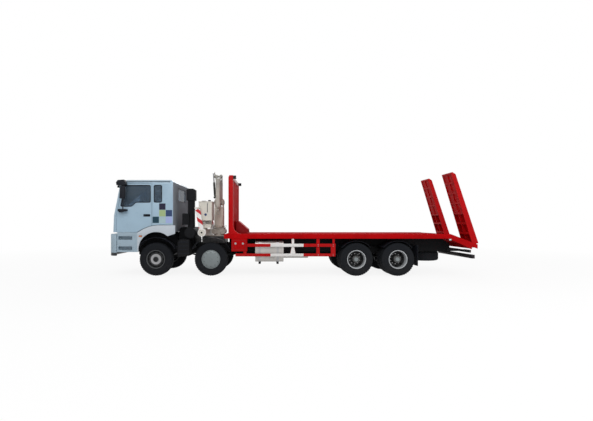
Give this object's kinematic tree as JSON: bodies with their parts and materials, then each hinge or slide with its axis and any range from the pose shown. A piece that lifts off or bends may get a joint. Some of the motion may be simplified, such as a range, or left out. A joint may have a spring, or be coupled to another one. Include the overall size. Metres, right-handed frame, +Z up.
{
  "type": "crane truck",
  "caption": "Cab-over flatbed truck with a folding crane and outriggers behind the tilting cab, a headboard with winch, and hinged tail ramps.",
  "frame": {"origin": "on the ground, at the middle of the length and width", "axes": "+X to the front of the truck, +Y to its left side, +Z up"},
  "size_m": [11.925, 2.9, 3.496],
  "materials": {
    "cab_paint": "gloss",
    "black_plastic": "matte",
    "glass": "clear",
    "interior_grey": "matte",
    "chassis_black": "satin",
    "bed_red": "satin",
    "guard_red": "satin",
    "tank_alloy": "brushed",
    "lamp_lens": "gloss",
    "crane_cream": "satin",
    "rod_chrome": "polished",
    "rigger_paint": "satin",
    "tyre": "matte",
    "rim_grey": "satin"
  },
  "bodies": {
    "chassis": {"chassis_frame": "chassis_black", "powertrain": "chassis_black", "axles_and_springs": "chassis_black", "front_lower_panels": "cab_paint", "lamps": "lamp_lens", "tanks": "tank_alloy", "mudguards": "black_plastic", "spare_wheel": "tyre", "underrun_guards": "guard_red", "bed_deck": "bed_red", "bed_subframe": "chassis_black", "headboard": "bed_red", "winch": "bed_red", "crane_base": "crane_cream"},
    "cab": {"cab_shell": "cab_paint", "cab_trim": "black_plastic", "cab_glass": "glass", "cab_interior": "interior_grey"},
    "door_left": {"door_left": "cab_paint", "door_glass_left": "glass", "mirror_left": "black_plastic"},
    "ramp_left": {"ramp_left": "bed_red"},
    "outrigger_beam_left": {"outrigger_beam_left": "rigger_paint"},
    "outrigger_leg_left": {"outrigger_leg_left": "rigger_paint"},
    "outrigger_foot_left": {"outrigger_foot_left": "rigger_paint"},
    "door_right": {"door_right": "cab_paint", "door_glass_right": "glass", "mirror_right": "black_plastic"},
    "ramp_right": {"ramp_right": "bed_red"},
    "outrigger_beam_right": {"outrigger_beam_right": "rigger_paint"},
    "outrigger_leg_right": {"outrigger_leg_right": "rigger_paint"},
    "outrigger_foot_right": {"outrigger_foot_right": "rigger_paint"},
    "knuckle_1l": {"knuckle_1l": "chassis_black"},
    "wheel_1l": {"tyre_1l": "tyre", "rim_1l": "rim_grey"},
    "knuckle_1r": {"knuckle_1r": "chassis_black"},
    "wheel_1r": {"tyre_1r": "tyre", "rim_1r": "rim_grey"},
    "knuckle_2l": {"knuckle_2l": "chassis_black"},
    "wheel_2l": {"tyre_2l": "tyre", "rim_2l": "rim_grey"},
    "knuckle_2r": {"knuckle_2r": "chassis_black"},
    "wheel_2r": {"tyre_2r": "tyre", "rim_2r": "rim_grey"},
    "wheel_3l": {"tyre_3l": "tyre", "rim_3l": "rim_grey"},
    "wheel_3r": {"tyre_3r": "tyre", "rim_3r": "rim_grey"},
    "wheel_4l": {"tyre_4l": "tyre", "rim_4l": "rim_grey"},
    "wheel_4r": {"tyre_4r": "tyre", "rim_4r": "rim_grey"},
    "crane_column": {"crane_column": "crane_cream"},
    "crane_boom": {"crane_boom": "crane_cream"},
    "crane_jib": {"crane_jib": "crane_cream"},
    "crane_extension": {"crane_extension": "crane_cream"},
    "lift_barrel": {"lift_barrel": "crane_cream"},
    "lift_rod": {"lift_rod": "rod_chrome"},
    "jib_barrel": {"jib_barrel": "crane_cream"},
    "jib_rod": {"jib_rod": "rod_chrome"}
  },
  "joints": [
    {"name": "steer_1l", "type": "hinge", "parent": "chassis", "child": "knuckle_1l", "pos_m": [4.4725, 0.83, 0.54], "axis": [0, 0, 1], "range_deg": [-36, 36]},
    {"name": "spin_1l", "type": "hinge", "parent": "knuckle_1l", "child": "wheel_1l", "pos_m": [4.4725, 1.018, 0.54], "axis": [0, 1, 0], "continuous": true},
    {"name": "steer_1r", "type": "hinge", "parent": "chassis", "child": "knuckle_1r", "pos_m": [4.4725, -0.83, 0.54], "axis": [0, 0, 1], "range_deg": [-36, 36]},
    {"name": "spin_1r", "type": "hinge", "parent": "knuckle_1r", "child": "wheel_1r", "pos_m": [4.4725, -1.018, 0.54], "axis": [0, 1, 0], "continuous": true},
    {"name": "steer_2l", "type": "hinge", "parent": "chassis", "child": "knuckle_2l", "pos_m": [2.6825, 0.83, 0.54], "axis": [0, 0, 1], "range_deg": [-27, 27]},
    {"name": "spin_2l", "type": "hinge", "parent": "knuckle_2l", "child": "wheel_2l", "pos_m": [2.6825, 1.018, 0.54], "axis": [0, 1, 0], "continuous": true},
    {"name": "steer_2r", "type": "hinge", "parent": "chassis", "child": "knuckle_2r", "pos_m": [2.6825, -0.83, 0.54], "axis": [0, 0, 1], "range_deg": [-27, 27]},
    {"name": "spin_2r", "type": "hinge", "parent": "knuckle_2r", "child": "wheel_2r", "pos_m": [2.6825, -1.018, 0.54], "axis": [0, 1, 0], "continuous": true},
    {"name": "spin_3l", "type": "hinge", "parent": "chassis", "child": "wheel_3l", "pos_m": [-2.0275, 0.913, 0.54], "axis": [0, 1, 0], "continuous": true},
    {"name": "spin_3r", "type": "hinge", "parent": "chassis", "child": "wheel_3r", "pos_m": [-2.0275, -0.913, 0.54], "axis": [0, 1, 0], "continuous": true},
    {"name": "spin_4l", "type": "hinge", "parent": "chassis", "child": "wheel_4l", "pos_m": [-3.3675, 0.913, 0.54], "axis": [0, 1, 0], "continuous": true},
    {"name": "spin_4r", "type": "hinge", "parent": "chassis", "child": "wheel_4r", "pos_m": [-3.3675, -0.913, 0.54], "axis": [0, 1, 0], "continuous": true},
    {"name": "cab_tilt", "type": "hinge", "parent": "chassis", "child": "cab", "pos_m": [5.8425, 0, 1.39], "axis": [0, 1, 0], "range_deg": [0, 50]},
    {"name": "door_left", "type": "hinge", "parent": "cab", "child": "door_left", "pos_m": [5.7105, 1.247, 1.7], "axis": [0, 0, -1], "range_deg": [0, 70]},
    {"name": "ramp_left", "type": "hinge", "parent": "chassis", "child": "ramp_left", "pos_m": [-5.81251, 0.887, 0.962], "axis": [0, -1, 0], "range_deg": [0, 127]},
    {"name": "door_right", "type": "hinge", "parent": "cab", "child": "door_right", "pos_m": [5.7105, -1.247, 1.7], "axis": [0, 0, 1], "range_deg": [0, 70]},
    {"name": "ramp_right", "type": "hinge", "parent": "chassis", "child": "ramp_right", "pos_m": [-5.81251, -0.887, 0.962], "axis": [0, -1, 0], "range_deg": [0, 127]},
    {"name": "crane_slew", "type": "hinge", "parent": "chassis", "child": "crane_column", "pos_m": [2.5575, 0, 1.6], "axis": [0, 0, -1], "range_deg": [-200, 200]},
    {"name": "boom_lower", "type": "hinge", "parent": "crane_column", "child": "crane_boom", "pos_m": [2.5575, 0, 2.45], "axis": [1, 0, 0], "range_deg": [0, 80]},
    {"name": "jib_unfold", "type": "hinge", "parent": "crane_boom", "child": "crane_jib", "pos_m": [2.5575, 0.18, 3.345], "axis": [1, 0, 0], "range_deg": [0, 165]},
    {"name": "extension_slide", "type": "slide", "parent": "crane_jib", "child": "crane_extension", "axis": [0, 0, -1], "range_m": [0, 0.6]},
    {"name": "lift_barrel_swing", "type": "hinge", "parent": "crane_column", "child": "lift_barrel", "pos_m": [2.5575, -0.255, 1.7], "axis": [1, 0, 0], "range_deg": [0, 23.14]},
    {"name": "lift_rod_slide", "type": "slide", "parent": "lift_barrel", "child": "lift_rod", "axis": [0, 0.0541, 0.9985], "range_m": [-0.5287, 0]},
    {"name": "jib_barrel_swing", "type": "hinge", "parent": "crane_boom", "child": "jib_barrel", "pos_m": [2.7355, -0.172, 2.64], "axis": [-1, 0, 0], "range_deg": [-1.63, 1]},
    {"name": "jib_rod_slide", "type": "slide", "parent": "jib_barrel", "child": "jib_rod", "axis": [0, 0.4331, 0.9014], "range_m": [-0.2432, 0]},
    {"name": "outrigger_beam_left", "type": "slide", "parent": "chassis", "child": "outrigger_beam_left", "axis": [0, 1, 0], "range_m": [0, 0.85]},
    {"name": "outrigger_leg_left", "type": "hinge", "parent": "outrigger_beam_left", "child": "outrigger_leg_left", "pos_m": [2.9625, 1.23, 1.41], "axis": [0, 1, 0], "range_deg": [0, 170]},
    {"name": "outrigger_foot_left", "type": "slide", "parent": "outrigger_leg_left", "child": "outrigger_foot_left", "axis": [0.1736, 0, 0.9848], "range_m": [0, 0.57]},
    {"name": "outrigger_beam_right", "type": "slide", "parent": "chassis", "child": "outrigger_beam_right", "axis": [0, -1, 0], "range_m": [0, 0.85]},
    {"name": "outrigger_leg_right", "type": "hinge", "parent": "outrigger_beam_right", "child": "outrigger_leg_right", "pos_m": [2.9625, -1.23, 1.41], "axis": [0, 1, 0], "range_deg": [0, 170]},
    {"name": "outrigger_foot_right", "type": "slide", "parent": "outrigger_leg_right", "child": "outrigger_foot_right", "axis": [0.1736, 0, 0.9848], "range_m": [0, 0.57]}
  ],
  "couplings": [
    {"joint": "steer_1r", "follows": "steer_1l", "ratio": 1},
    {"joint": "steer_2l", "follows": "steer_1l", "ratio": 0.72},
    {"joint": "steer_2r", "follows": "steer_1l", "ratio": 0.72},
    {"joint": "lift_barrel_swing", "follows": "boom_lower", "ratio": 0.27669},
    {"joint": "lift_rod_slide", "follows": "boom_lower", "m_per_rad": -0.37504},
    {"joint": "jib_barrel_swing", "follows": "jib_unfold", "ratio": -0.003843},
    {"joint": "jib_rod_slide", "follows": "jib_unfold", "m_per_rad": -0.082715}
  ]
}
